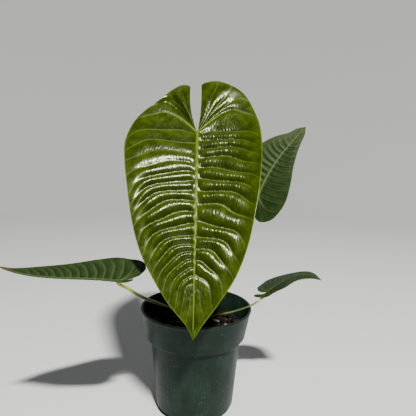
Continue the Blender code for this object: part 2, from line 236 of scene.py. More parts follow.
cutter = bmesh.new()
for k in range(DRAIN_HOLES):
    turn = 2 * pi * (k + 0.5) / DRAIN_HOLES
    reach = POT_BASE - DRAIN_INSET
    made = bmesh.ops.create_cone(cutter, cap_ends=True, segments=32, radius1=DRAIN_RADIUS,
                                 radius2=DRAIN_RADIUS, depth=POT_WALL * 4)
    bmesh.ops.translate(cutter, verts=made["verts"],
                        vec=(reach * cos(turn), reach * sin(turn), 0))
cutter_mesh = bpy.data.meshes.new("drain_cutter")
cutter.to_mesh(cutter_mesh)
cutter.free()
drain_cutter = bpy.data.objects.new("drain_cutter", cutter_mesh)
bpy.context.scene.collection.objects.link(drain_cutter)
cut = pot.modifiers.new("drain holes", "BOOLEAN")
cut.operation = "DIFFERENCE"
cut.object = drain_cutter
pierced = bpy.data.meshes.new_from_object(pot.evaluated_get(bpy.context.evaluated_depsgraph_get()))
pot.modifiers.clear()
pot.data = pierced
bpy.data.objects.remove(drain_cutter)

# ---------------------------------------------------------------------------------------------
# Potting mix. Damp, nearly black bark and coir, filled to 20 mm below the rim. Its surface is a
# litter of crumbs, bark flakes, coir chips and fibres that lie on a lumpy bed.
MIX_TOP = 0.0855
MIX_DIP = 0.0022
MIX_GAP = 0.00045            # between the mix and the pot's wall
MIX_LIFT = 0.0003            # between the mix and the pot's floor or ledge
CROWN_RADIUS = 0.0066
PIT_FLOOR = 0.0784           # the crown stands in a pit this high up
FIBRES = 150


def mix_height(x, y):
    """Height of the bed of mix at a place: lumps on lumps, always below MIX_TOP."""
    lump = 0.62 * noise.noise(Vector((x, y, 0)) * 130) + 0.38 * noise.noise(Vector((y, x, 4)) * 420)
    return MIX_TOP - MIX_DIP * (0.5 + 0.5 * lump)


def soil_finish(name, dark, light, scale):
    """Matt, crumbly and mottled, with a little grey on the driest grains."""
    finish = Finish(name, Specular_IOR_Level=0.25)
    spot = finish.place()
    mottle = finish.noise(spot, scale, 6, 0.7)
    fine = finish.noise(spot, scale * 6, 4, 0.6)
    colour = finish.blend(finish.fit(mottle, 0.35, 0.68), dark, light)
    grey = finish.blend(finish.fit(fine, 0.60, 0.80, 0.0, 0.35), colour, (0.05, 0.043, 0.034))
    finish.wear(Base_Color=grey, Roughness=finish.fit(mottle, 0.3, 0.7, 0.72, 0.96),
                Normal=finish.bump(fine, 0.0005, 0.9))
    return finish


side = [(POT_BASE - 0.0012, POT_WALL + MIX_LIFT),
        (POT_BODY[0] - POT_WALL - MIX_GAP, POT_CHAMFER + 0.001),
        (POT_BODY[1] - POT_WALL - MIX_GAP, POT_LEDGE + 0.001),
        (POT_COLLAR[0] - POT_WALL - MIX_GAP, POT_LEDGE + POT_WALL + MIX_LIFT)]
edge = wall_inside(MIX_TOP) - MIX_GAP
pit = CROWN_RADIUS + 0.0010
top = [(pit + (edge - pit) * k / 40, MIX_TOP) for k in range(40, 0, -1)]
middle = [(pit, MIX_TOP - 0.0010), (pit, PIT_FLOOR), (0, PIT_FLOOR)]
bm = turned([(0, POT_WALL + MIX_LIFT)] + side + top + middle, 128)
for v in bm.verts:
    if abs(v.co.z - MIX_TOP) < MERGE:
        v.co.z = mix_height(v.co.x, v.co.y)
piece("mix_bed", bm, soil_finish("mix_bed", (0.004, 0.0028, 0.002), (0.016, 0.011, 0.0075), 260),
      "potting_mix")


def litter(name, count, seed, sizes, flatness, sink, finish, rounded):
    """Scatters small lumps over the mix, each squashed, turned and chipped in its own way."""
    draw = np.random.default_rng(seed)
    bm = bmesh.new()
    for _ in range(count):
        size = draw.uniform(*sizes)
        outer = wall_inside(MIX_TOP) - 0.0012 - size * 0.75
        reach = np.sqrt(draw.uniform((CROWN_RADIUS + 0.003) ** 2, outer ** 2))
        turn = draw.uniform(0, 2 * pi)
        if rounded:
            made = bmesh.ops.create_icosphere(bm, subdivisions=1, radius=0.5)["verts"]
        else:
            made = bmesh.ops.create_cube(bm, size=0.9)["verts"]
        shape = Vector((1, draw.uniform(0.5, 0.85), draw.uniform(*flatness))) * size
        tilt = Matrix.Rotation(draw.uniform(0, 2 * pi), 3, "Z") @ Matrix.Rotation(
            draw.normal(0, 0.30), 3, "X") @ Matrix.Rotation(draw.normal(0, 0.30), 3, "Y")
        x, y = reach * cos(turn), reach * sin(turn)
        middle = Vector((x, y, mix_height(x, y) + size * sink))
        for v in made:
            jag = 1 + draw.uniform(-0.28, 0.28)
            v.co = middle + tilt @ Vector(v.co[k] * shape[k] * jag for k in range(3))
    bmesh.ops.recalc_face_normals(bm, faces=bm.faces)
    piece(name, bm, finish, None, 35)


litter("mix_crumbs", 1500, 3, (0.0009, 0.0026), (0.5, 0.9), 0.12,
       soil_finish("mix_crumbs", (0.0024, 0.0018, 0.0013), (0.011, 0.0075, 0.0052), 420), True)
litter("bark_fines", 330, 5, (0.0026, 0.0058), (0.22, 0.45), 0.10,
       soil_finish("bark_fines", (0.004, 0.0027, 0.0019), (0.016, 0.009, 0.006), 500), False)
litter("coir_chips", 90, 8, (0.0024, 0.0050), (0.30, 0.60), 0.14,
       soil_finish("coir_chips", (0.022, 0.017, 0.008), (0.085, 0.070, 0.034), 600), True)


def along(values, share):
    """Catmull-Rom value at each share, 0 to 1, of a list of numbers or points."""
    values = np.asarray(values, float)
    place = np.clip(np.asarray(share, float), 0, 1) * (len(values) - 1)
    first = np.minimum(place.astype(int), len(values) - 2)
    f = place - first
    if values.ndim > 1:
        f = f[..., None]
    before, a = values[np.maximum(first - 1, 0)], values[first]
    b, after = values[first + 1], values[np.minimum(first + 2, len(values) - 1)]
    return 0.5 * (2 * a + (b - before) * f + (2 * before - 5 * a + 4 * b - after) * f * f
                  + (3 * a - before - 3 * b + after) * f ** 3)


def add_tube(bm, route, radius, sides, up=(0, 0, 1)):
    """Rolls a grid round a route into a tube with closed ends. radius is a function of the
    shares along and round, and up is the side where the share round is 0."""
    route = np.asarray(route, float)
    rings = len(route)
    heading = np.gradient(route, axis=0)
    heading /= np.linalg.norm(heading, axis=1)[:, None]
    across = np.cross(heading, up)
    across /= np.linalg.norm(across, axis=1)[:, None]
    above = np.cross(across, heading)
    lengthwise = bm.verts.layers.float.get("lengthwise") or bm.verts.layers.float.new("lengthwise")
    made = bmesh.ops.create_grid(bm, x_segments=sides, y_segments=rings - 1, size=1)["verts"]
    grid = np.array([v.co[:2] for v in made])
    turn_share = (grid[:, 0] + 1) / 2
    ring = np.rint((grid[:, 1] + 1) / 2 * (rings - 1)).astype(int)
    share = ring / (rings - 1)
    reach = radius(share, turn_share) * np.where((ring == 0) | (ring == rings - 1), 0, 1)
    angle = 2 * pi * turn_share
    places = (route[ring] + above[ring] * (np.cos(angle) * reach)[:, None]
              + across[ring] * (np.sin(angle) * reach)[:, None])
    for v, place, s in zip(made, places, share):
        v.co = place
        v[lengthwise] = s


def close_tubes(bm):
    """Joins the tubes' seams and ends, and points their faces outwards."""
    bmesh.ops.remove_doubles(bm, verts=bm.verts, dist=MERGE / 4)
    bmesh.ops.recalc_face_normals(bm, faces=bm.faces)


def fibres():
    """Thin coir fibres that curl over the crumbs."""
    draw = np.random.default_rng(12)
    bm = bmesh.new()
    for _ in range(FIBRES):
        length, bow = draw.uniform(0.005, 0.014), draw.uniform(-0.35, 0.35)
        reach = np.sqrt(draw.uniform(0.010 ** 2, 0.042 ** 2))
        turn, heading = draw.uniform(0, 2 * pi), draw.uniform(0, 2 * pi)
        x, y = reach * cos(turn), reach * sin(turn)
        rise = draw.uniform(0.0002, 0.0016)
        route = []
        for share in np.linspace(-0.5, 0.5, 9):
            angle = heading + bow * share * 6
            px, py = x + length * share * cos(angle), y + length * share * sin(angle)
            route.append((px, py, mix_height(px, py) + rise + 0.0008 * cos(share * 5)))
        thick = draw.uniform(0.00009, 0.00017)
        add_tube(bm, route, lambda share, turn, thick=thick: thick + 0 * share, 5)
    close_tubes(bm)
    return bm


piece("coir_fibres", fibres(),
      soil_finish("coir_fibre", (0.050, 0.026, 0.012), (0.190, 0.105, 0.050), 700))

# ---------------------------------------------------------------------------------------------
# Bark chips and grit. Twelve coarse chips of fir bark, split along its layers, lie on the mix,
# with six worn grains of pumice between them. Nothing holds them.


def refined(node, cuts, rough, scale, seed):
    """A finer, weathered copy of a CAD node's shape."""
    bm = bmesh.new()
    bm.from_mesh(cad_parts[node].data)
    bmesh.ops.remove_doubles(bm, verts=bm.verts, dist=MERGE)
    bmesh.ops.subdivide_edges(bm, edges=bm.edges[:], cuts=cuts, use_grid_fill=True)
    bmesh.ops.triangulate(bm, faces=bm.faces[:])
    bmesh.ops.smooth_vert(bm, verts=bm.verts[:], factor=0.5, use_axis_x=True, use_axis_y=True,
                          use_axis_z=True)
    bm.normal_update()
    shift = Vector((seed, seed * 2, 0))
    for v in bm.verts:
        v.co += v.normal * rough * (noise.fractal(v.co * scale + shift, 0.7, 2.1, 4) - 0.2)
    bmesh.ops.recalc_face_normals(bm, faces=bm.faces)
    return bm


def bark_finish():
    finish = Finish("fir_bark", Specular_IOR_Level=0.25)
    spot = finish.place()
    layers = finish.noise(finish.place((1, 1, 5)), 480, 5, 0.7)
    patch = finish.noise(spot, 170, 3)
    brown = finish.blend(finish.fit(layers, 0.34, 0.66), (0.004, 0.0027, 0.0019), (0.019, 0.0105, 0.007))
    worn = finish.blend(finish.fit(patch, 0.48, 0.66, 0.0, 0.6), brown, (0.016, 0.0135, 0.010))
    finish.wear(Base_Color=worn, Roughness=finish.fit(layers, 0.3, 0.7, 0.70, 0.92),
                Normal=finish.bump(layers, 0.0006, 1.0))
    return finish


def pumice_finish():
    finish = Finish("pumice_grit", Specular_IOR_Level=0.3, Roughness=0.92)
    spot = finish.place()
    pores = finish.cells(spot, 2300).outputs["Distance"]
    stain = finish.noise(spot, 420, 4, 0.6)
    pale = finish.blend(finish.fit(stain, 0.40, 0.62), (0.090, 0.075, 0.042), (0.250, 0.220, 0.150))
    pitted = finish.blend(finish.fit(pores, 0.0, 0.28, 0.75, 0.0), pale, (0.060, 0.048, 0.030))
    finish.wear(Base_Color=pitted, Normal=finish.bump(finish.fit(pores, 0.0, 0.4), 0.0003, 1.0))
    return finish


fir_bark, pumice_grit = bark_finish(), pumice_finish()
for k in range(1, 13):
    node = f"bark_chip_{k:02d}"
    piece(f"fir_{node}", refined(node, 5, 0.0009, 420, k), fir_bark, node, 50)
for k in range(1, 7):
    node = f"pumice_grain_{k}"
    piece(f"worn_{node}", refined(node, 4, 0.0005, 1100, k), pumice_grit, node, 60)

# ---------------------------------------------------------------------------------------------
# Crown. The short stem that every leaf grows from: green and fleshy, ringed by the corky scars
# of shed leaves, with a blunt growing tip. Its lower part is buried in the mix.
CROWN_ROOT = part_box("crown")[0].z
CROWN_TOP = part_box("crown")[1].z
CROWN_RINGS = 4
CROWN_DOME = 0.003


def crown_finish():
    finish = Finish("crown_skin", Specular_IOR_Level=0.4)
    spot = finish.place()
    bands = finish.noise(finish.place((0.3, 0.3, 1)), 520, 4, 0.6)
    cork = finish.fit(finish.noise(spot, 300, 5, 0.7), 0.44, 0.60)
    skin = finish.blend(finish.fit(bands, 0.4, 0.6), (0.060, 0.075, 0.015), (0.150, 0.170, 0.045))
    finish.wear(Base_Color=finish.blend(cork, skin, (0.110, 0.070, 0.035)),
                Roughness=finish.fit(bands, 0.3, 0.7, 0.45, 0.75),
                Normal=finish.bump(bands, 0.0004, 0.8))
    return finish


def crown_profile():
    """A column of bulging rings with a rounded top."""
    profile = [(0, CROWN_ROOT), (CROWN_RADIUS * 0.8, CROWN_ROOT)]
    ring = (CROWN_TOP - CROWN_DOME - CROWN_ROOT) / CROWN_RINGS
    for k in range(CROWN_RINGS):
        for share in np.linspace(0.12, 1, 7):
            bulge = 0.90 + 0.10 * sin(pi * share) ** 0.5
            profile.append((CROWN_RADIUS * bulge, CROWN_ROOT + ring * (k + share)))
    for share in np.linspace(0.2, 1, 7):
        profile.append((CROWN_RADIUS * 0.9 * cos(share * pi / 2),
                        CROWN_TOP - CROWN_DOME + CROWN_DOME * sin(share * pi / 2)))
    return profile


bm = turned(crown_profile(), 48)
for v in bm.verts:
    swell = 1 + 0.05 * noise.noise(v.co * 380)
    v.co.x *= swell
    v.co.y *= swell
piece("crown_stem", bm, crown_finish(), "crown")

# ---------------------------------------------------------------------------------------------
# Dry sheaths. Each leaf came up inside a scale that has dried to a brown, papery, fibrous strip.
# They clasp the crown and fray at their tips.
# Each sheath's place round the crown and its width in degrees, its height and its lean.
SHEATHS = ((256, 58, 0.027, 0.16), (120, 70, 0.022, 0.22), (314, 42, 0.018, 0.26))
SHEATH_PAPER = 0.00035


def sheath_finish():
    finish = Finish("dry_sheath", Specular_IOR_Level=0.3)
    strands = finish.noise(finish.place((26, 1.2, 1), "flat"), 6, 5, 0.7)
    stain = finish.noise(finish.place(), 160, 3)
    paper = finish.blend(finish.fit(strands, 0.34, 0.68), (0.085, 0.042, 0.018), (0.360, 0.230, 0.110))
    finish.wear(Base_Color=finish.blend(finish.fit(stain, 0.45, 0.7, 0.0, 0.6), paper,
                                        (0.070, 0.030, 0.014)),
                Roughness=0.8, Normal=finish.bump(strands, 0.0004, 0.9))
    return finish


def sheath(spec, seed):
    """A strip that wraps part of the crown, narrows upwards, leans out and frays."""
    turn, width, height, lean = spec
    bm = bmesh.new()
    made = bmesh.ops.create_grid(bm, x_segments=26, y_segments=30, size=1, calc_uvs=True)["verts"]
    flat = bm.loops.layers.uv.verify()
    for face in bm.faces:
        for loop in face.loops:
            loop[flat].uv = loop.vert.co.xy
    for v in made:
        across, up = v.co.x, (v.co.y + 1) / 2
        narrow = 1 - up ** 1.6 * 0.96
        fray = 0.0020 * up ** 3 * noise.noise(Vector((across * 7, seed, 0)))
        ridge = 0.00012 * cos(across * 40) * (1 - up)
        curl = 0.0010 * up ** 2 * noise.noise(Vector((across * 2, up * 3, seed)))
        angle = radians(turn + across * width / 2 * narrow)
        reach = CROWN_RADIUS + 0.0014 + height * lean * up ** 2 + ridge + curl
        v.co = (reach * cos(angle), reach * sin(angle), MIX_TOP + 0.0002 + (height + fray) * up)
    return bm


papery = sheath_finish()
for k, spec in enumerate(SHEATHS, 1):
    strip = piece(f"sheath_{k}", sheath(spec, k), papery, f"cataphyll_{k}")
    strip.data.uv_layers[0].name = "flat"
    thicken = strip.modifiers.new("paper", "SOLIDIFY")
    thicken.thickness = SHEATH_PAPER
    thicken.offset = 1

# ---------------------------------------------------------------------------------------------
# Aerial roots. Two stout roots leave the crown's side and dive into the mix. Their skin is pale,
# corky and velvety, and their growing tips are green.
# Each root's place round the crown in degrees, and its length.
ROOTS = ((24, 0.017), (180, 0.019))


def root_finish():
    finish = Finish("root_skin", Specular_IOR_Level=0.2, Sheen_Weight=0.35, Sheen_Roughness=0.4)
    along_it = finish.read("lengthwise")
    felt = finish.noise(finish.place(), 900, 5, 0.7)
    skin = finish.blend(finish.fit(felt, 0.35, 0.65), (0.170, 0.140, 0.075), (0.360, 0.320, 0.200))
    finish.wear(Base_Color=finish.blend(finish.fit(along_it, 0.86, 0.97), skin, (0.16, 0.20, 0.05)),
                Roughness=0.85, Normal=finish.bump(felt, 0.0003, 0.8))
    return finish


root_skin = root_finish()
for k, (turn, length) in enumerate(ROOTS, 1):
    route = []
    for share in np.linspace(0, 1, 30):
        reach = CROWN_RADIUS - 0.001 + (length + 0.0046) * share
        angle = radians(turn + 7 * sin(share * 5))
        route.append((reach * cos(angle), reach * sin(angle),
                      MIX_TOP + 0.0012 + 0.0026 * cos(share * pi / 2) - 0.0022 * share ** 4))
    bm = bmesh.new()
    add_tube(bm, route, lambda share, turn: 0.0013 * (1 - 0.30 * share) * (
        1 + 0.07 * np.sin(share * 46 + 3 * np.sin(turn * 6))) * np.minimum(
            1, np.sqrt(np.maximum(1 - share, 0) * 14)), 20)
    close_tubes(bm)
    piece(f"root_{k}", bm, root_skin, f"aerial_root_{k}")

# ---------------------------------------------------------------------------------------------
# Leaf blades. Each grew as one thin sheet. A pale midrib runs from the stalk to the drip tip,
# side veins arch from it to a thin pale edge, and the sheet bulges into pleats between them.
LEAF_SHEET = 0.0006
# Each vein starts at its root on the midrib, heads for a bend and turns to its end on the margin.
# Roots are shares of the leaf's length, and a bend lies its reach out, as a share of how far out
# the end is, and its lift past the root, in leaf lengths.
ROW_SPANS = 12
VEIN_ROOTS = (0, 0, 0, 0, 0.02, 0.13, 0.25, 0.37, 0.49, 0.60, 0.71, 0.82, 1)
VEIN_LIFTS = (-0.14, -0.19, -0.22, -0.21, -0.07, -0.025, -0.01, 0, 0, 0, -0.005, -0.01, 0)
VEIN_REACHES = (1.2, 0.8, 0.62, 0.60, 0.64, 0.72, 0.77, 0.80, 0.82, 0.80, 0.76, 0.72, 0.72)
LOBE_ROUNDING = 0.018
FAN = 4 / ROW_SPANS          # the share of the rows that fan out from the stalk into the lobes
BASAL_VEINS = (1.15 / ROW_SPANS, 2.95 / ROW_SPANS)
VEIN_GAP = 0.16              # between neighbouring rows at the lobe's edge, in leaf lengths
CROWDING = 1.35              # how much closer the mesh's columns lie at the midrib
SIDE_PLEATS = (0, 0.9, 1.9, 2.9, 4, 5.8, 7.6, 9.4, 11.2, 13, 14.6, 16.2, 18)

# Angles are in degrees, from the stalk to the tip. Dip is the slope down, roll the turn about the
# midrib and keel the rise of each half from it. Margins list each half's edge from the lobe to
# the tip in mm, on the flat leaf: out from the midrib, and along it from the stalk.
LEAVES = {
    "front": dict(
        joint=(-0.0022, 0.008, 0.2805), length=0.197,
        heading=(-90, -90), dip=(50, 66), roll=(0, 0), keel=(6, 5, 3, 3), lobe_dip=60,
        pleat=0.0027, rib=(0.0017, 0.0005), rows=280, half=64,
        counts=((0, 1.3, 2.6, 4, 5, 7.45, 9.4, 11.45, 12.8, 14.6, 16.5, 18.2, 19.2),
                (0, 1.2, 2.5, 3.8, 5, 6.9, 9.05, 11.6, 13.6, 16, 19.1, 22, 23)),
        margins=(
            ((3.5, -62), (24, -61), (47, -46), (59.5, -15), (62, 14), (60.5, 40), (57, 67),
             (52, 93), (45, 121), (34.5, 147), (20, 169), (7, 186), (0, 197)),
            ((8, -61.5), (21, -56), (40, -37), (59.5, -13), (68, 15), (66.5, 40), (60, 75),
             (54, 102), (46, 126), (35, 147), (20.5, 169), (5.5, 186), (0, 197)),
        ),
    ),
    "back": dict(
        joint=(0.065, 0.040, 0.2155), length=0.092,
        heading=(8, 10, 12), dip=(-70, -60, -50, -46), roll=(60, 60, 60), keel=(9, 8, 4),
        lobe_dip=-72, pleat=0.0011, counts=(SIDE_PLEATS, SIDE_PLEATS), rib=(0.0017, 0.0005),
        rows=168, half=44,
        margins=(
            ((3, -24), (12, -27), (23, -20), (31, -8), (34, 6), (33, 19), (30, 32),
             (26.5, 44), (22, 55), (16.5, 65), (9.5, 75), (5.5, 85), (0, 92)),
            ((3, -23), (12, -26), (23, -20), (29, -8), (31, 5), (29.5, 18), (26, 31),
             (21, 43), (16.5, 54), (12, 65), (8, 76), (5, 85), (0, 92)),
        ),
    ),
    "left": dict(
        joint=(-0.0652, -0.066, 0.1525), length=0.096,
        heading=(184, 193, 204, 214), dip=(-7, -5, -13, -32), roll=(-1, -1, -1, -1),
        keel=(19, 19, 17, 12), lobe_dip=18, pleat=0.0011, counts=(SIDE_PLEATS, SIDE_PLEATS),
        rib=(0.0011, 0.0004), rows=168, half=44,
        margins=(
            ((2, -8), (6, -9), (12, -8), (19, -4), (25, 4), (27, 14), (27, 26),
             (25.5, 38), (22.5, 50), (17, 62), (10, 73), (3, 84), (0, 96)),
            ((3, -18.5), (10, -23.5), (20, -22), (30, -12), (33.5, 4), (28.5, 19), (23, 33),
             (19, 46), (16, 57.5), (13, 67), (9.8, 75), (5.2, 84), (0, 96)),
        ),
    ),
    "right": dict(
        joint=(0.074, 0.004, 0.1215), length=0.061,
        heading=(-2, -26, -52), dip=(-38, -27, 16), roll=(10, 4, 5), keel=(-8, -5, -3),
        lobe_dip=0, pleat=0.0009, counts=(SIDE_PLEATS, SIDE_PLEATS), rib=(0.0008, 0.0003),
        rows=144, half=36,
        margins=(
            ((3, -9), (9, -10.5), (17, -9), (24, -4), (27, 2), (26.5, 9), (25, 16),
             (22.5, 24), (19, 33), (14, 41), (8.5, 48), (3, 55), (0, 61)),
            ((2.5, -14), (5.5, -16), (7.5, -13), (8, -7), (8, 0), (9.5, 8), (13, 16),
             (16, 24), (16.5, 33), (14.5, 41), (10.5, 48), (4.5, 55), (0, 61)),
        ),
    ),
}


def step(value, low, high):
    """0 below low, 1 above high and smooth between them."""
    t = np.clip((value - low) / (high - low), 0, 1)
    return t * t * (3 - 2 * t)


def flat_points(leaf, row, across):
    """Points of the flat blade at a share of the way along each row's vein, in metres."""
    s = np.abs(across)[:, None]
    ends = np.where(across[:, None] > 0, along(leaf["margins"][0], row),
                    along(leaf["margins"][1], row)) / 1000
    root = np.maximum(along(VEIN_ROOTS, row), 0) * leaf["length"]
    lift = along(VEIN_LIFTS, row) * leaf["length"]
    start = np.column_stack((0 * root, root))
    bend = np.column_stack((ends[:, 0] * along(VEIN_REACHES, row), root + lift))
    flat = start * (1 - s) ** 2 + bend * 2 * s * (1 - s) + ends * s * s
    flat[:, 1] += LOBE_ROUNDING * leaf["length"] * np.exp(-36 * row) * s[:, 0] ** 6
    return np.where(across > 0, flat[:, 0], -flat[:, 0]), flat[:, 1]


def lay(leaf, x, y, rise):
    """Lays flat points along the leaf's curved midrib, each raised off the sheet."""
    lowest = min(point[1] for margin in leaf["margins"] for point in margin) / 1000
    places = np.linspace(lowest, leaf["length"], 240)
    shares = places / leaf["length"]
    lean = np.clip(2 * places / lowest, 0, 1)
    first = leaf["dip"][0]
    dips = np.where(shares < 0, first + (leaf["lobe_dip"] - first) * lean,
                    along(leaf["dip"], shares))
    fall, turn = np.radians(dips), np.radians(along(leaf["heading"], shares))
    runs = np.column_stack((np.cos(fall) * np.cos(turn), np.cos(fall) * np.sin(turn), -np.sin(fall)))
    steps = np.diff(places)[:, None] * (runs[1:] + runs[:-1]) / 2
    line = np.vstack((np.zeros(3), np.cumsum(steps, axis=0)))
    line += leaf["joint"] - np.array([np.interp(0, places, line[:, k]) for k in range(3)])
    centre = np.column_stack([np.interp(y, places, line[:, k]) for k in range(3)])
    run = np.column_stack([np.interp(y, places, runs[:, k]) for k in range(3)])
    run /= np.linalg.norm(run, axis=1)[:, None]
    level = np.cross((0, 0, 1), run)
    level /= np.linalg.norm(level, axis=1)[:, None]
    up = np.cross(run, level)
    share = np.clip(y / leaf["length"], 0, 1)
    roll = np.radians(along(leaf["roll"], share))[:, None]
    keel = np.radians(along(leaf["keel"], share))[:, None]
    side = level * np.cos(roll) + up * np.sin(roll)
    out = up * np.cos(roll) - level * np.sin(roll)
    x, rise = x[:, None], rise[:, None]
    sway = np.where(x > 0, -1, 1) * np.sin(keel)
    return (centre + side * x * np.cos(keel) + out * np.abs(x) * np.sin(keel)
            + (out * np.cos(keel) + side * sway) * rise)


def pleats(leaf, row, across):
    """How many pleats have gone by at each point, and their height there. A pleat rises sharply
    from one sunken vein and falls slowly to the next. It dies out before the leaf's edge and
    towards the tip, and the lobes are calmer, the left one most."""
    s = np.abs(across)
    turns = np.where(across > 0, along(leaf["counts"][0], row), along(leaf["counts"][1], row))
    wander = leaf["pleat"] * 40 * np.sin(s * 9 + row * 40)
    pillow = np.sin(pi * np.mod(turns + wander, 1) ** 0.70) ** 1.1
    fade = np.where(across > 0, 0.16, 0) + 0.16 * step(row, 0.55, 0.85)
    strength = step(s, -0.02, 0.08) * (1 - step(s, 0.60 - fade, 0.95 - fade * 0.4))
    strength *= (1 - step(row, 0.80, 0.90)) * np.where(
        across > 0, 0.60 + 0.40 * step(row, FAN * 0.8, FAN * 1.3),
        0.12 + 0.88 * step(row, FAN * 1.12, FAN * 1.54))
    return turns + wander, leaf["pleat"] * (pillow - 0.55) * strength


def ribs(leaf, row, across, x, y):
    """The midrib, and the two veins that run from its foot into each lobe, as 0 to 1."""
    width = np.interp(y, (0, leaf["length"]), leaf["rib"])
    midrib = np.exp(-(x / width) ** 2) * (1 - step(y, leaf["length"] * 0.93, leaf["length"]))
    midrib *= step(y, -width, 0)
    s = np.abs(across)
    spread = ROW_SPANS * leaf["length"] * VEIN_GAP * s + MERGE
    basal = 0
    for vein in BASAL_VEINS:
        near = np.exp(-((row - vein) * spread / (0.55 * leaf["rib"][0])) ** 2)
        basal = np.maximum(basal, near * (1 - step(s, 0.10, 0.72)) * (row < FAN))
    return width, midrib, basal


def leaf_blade(leaf, shape=None):
    """A two-sided sheet: rows follow the veins, columns run from the midrib to the edge. Its UV
    map is the flat leaf in centimetres."""
    bm = bmesh.new()
    bmesh.ops.create_grid(bm, x_segments=leaf["half"] * 2, y_segments=leaf["rows"], size=1)
    lower = len(bm.verts)
    bmesh.ops.extrude_face_region(bm, geom=bm.faces[:], use_keep_orig=True)
    grid = np.array([v.co[:2] for v in bm.verts])
    upper = np.arange(len(grid)) >= lower
    row, t = (grid[:, 1] + 1) / 2, grid[:, 0]
    across = np.sign(t) * np.abs(t) ** CROWDING
    x, y = flat_points(leaf, row, across)
    turns, rise = pleats(leaf, row, across)
    width, midrib, basal = ribs(leaf, row, across, x, y)
    rib = np.maximum(midrib, basal * 0.8)
    top = rise * (1 - basal) + width * (0.50 * midrib + 0.28 * basal)
    bottom = rise - LEAF_SHEET - width * (0.9 * midrib + 0.6 * basal)
    edge = 1 - step(np.abs(across), 0.90, 1.0) * 0.5
    rise = np.where(upper, top, bottom * edge + top * (1 - edge))
    if shape:
        rise = rise + shape(row, across, x, y)
    places = lay(leaf, x, y, rise)
    layers = {key: bm.verts.layers.float.new(key)
              for key in ("turns", "across", "rib", "share", "upper")}
    values = dict(turns=turns, across=across, rib=rib, share=y / leaf["length"],
                  upper=upper.astype(float))
    flat = bm.loops.layers.uv.new("flat")
    bm.verts.ensure_lookup_table()
    for k, v in enumerate(bm.verts):
        v.co = places[k]
        for key, layer in layers.items():
            v[layer] = values[key][k]
    bm.verts.index_update()
    for face in bm.faces:
        for loop in face.loops:
            k = loop.vert.index
            loop[flat].uv = (x[k] * 100, y[k] * 100)
    bmesh.ops.remove_doubles(bm, verts=bm.verts, dist=MERGE)
    bmesh.ops.recalc_face_normals(bm, faces=bm.faces)
    return bm


def leaf_finish(name, dark, light, vein, back, gloss, satin, net, line=(0.055, 0.6),
                dry_tip=False):
    """Living leaf: pale veins, mottled green between them with painted shade on each pleat's falling
    flank, a fine net of veinlets, and a wax gloss that is duller on the veins. line is the side veins'
    width and strength."""
    finish = Finish(name, Specular_IOR_Level=gloss, Specular_Tint=(0.86, 0.94, 0.62))
    flat = finish.place((1, 1, 1), "flat")
    turns, across, rib = finish.read("turns"), finish.read("across"), finish.read("rib")
    s = finish.add("Math", {0: across}, operation="ABSOLUTE").outputs[0]
    cloud = finish.noise(flat, 0.9, 4, 0.6)
    green = finish.blend(finish.fit(cloud, 0.32, 0.68), dark, light)
    beat = finish.add("Math", {0: turns, 1: 0.5}, operation="PINGPONG").outputs[0]
    phase = finish.add("Math", {0: turns}, operation="FRACT").outputs[0]
    # Painted shade: the down-facing flank of each pleat is darkened, fading out towards the edge.
    falling_flank_shade = finish.times(finish.fit(phase, 0.30, 0.85), finish.fit(s, 0.6, 0.95, 0.75, 0.0))
    shaded = finish.blend(falling_flank_shade, green, tuple(0.55 * c for c in dark))
    side = finish.times(finish.fit(beat, 0.0, line[0], 1.0, 0.0),
                        finish.fit(s, 0.55, 1.0, line[1], line[1] / 4))
    side = finish.times(side, finish.fit(finish.read("share"), 0.72, 0.84, 1.0, 0.1))
    veined = finish.blend(side, shaded, vein)
    web = finish.cells(finish.place((9, 4, 1), "flat"), 1.0, "DISTANCE_TO_EDGE").outputs["Distance"]
    netted = finish.blend(finish.fit(web, 0.0, 0.10, net, 0.0), veined, vein)
    ribbed = finish.blend(finish.fit(rib, 0.25, 0.8, 0.0, 0.92), netted, vein)
    rimmed = finish.blend(finish.fit(s, 0.972, 0.99, 0.0, 0.75), ribbed, vein)
    if dry_tip:
        share = finish.sum(finish.read("share"), finish.times(finish.noise(flat, 2.5, 3), 0.10))
        rimmed = finish.blend(finish.fit(share, 0.90, 0.97), rimmed, (0.085, 0.042, 0.022))
    colour = finish.blend(finish.read("upper"), finish.blend(0.55, back, rimmed), rimmed)
    beads = finish.cells(finish.place((7, 3, 1), "flat"), 1.0, "SMOOTH_F1").outputs["Distance"]
    fine = finish.noise(finish.place((14, 8, 1), "flat"), 1.0, 3)
    beaded = finish.times(finish.times(beads, finish.fit(s, 0.55, 0.85, 1.0, 0.12)),
                          finish.fit(rib, 0.05, 0.4, 1.0, 0.0))
    relief = finish.bump(beaded, 0.00030, 0.8, finish.bump(fine, 0.00003, 0.5))
    dull = finish.sum(finish.fit(beat, 0.04, 0.10, 0.16, 0.0), finish.fit(rib, 0.1, 0.6, 0.0, 0.18))
    rough = finish.sum(finish.sum(finish.fit(cloud, 0.3, 0.7, satin, satin + 0.08), dull),
                       finish.fit(finish.read("upper"), 0.0, 1.0, 0.22, 0.0))
    finish.wear(Base_Color=colour, Roughness=rough, Normal=relief)
    return finish


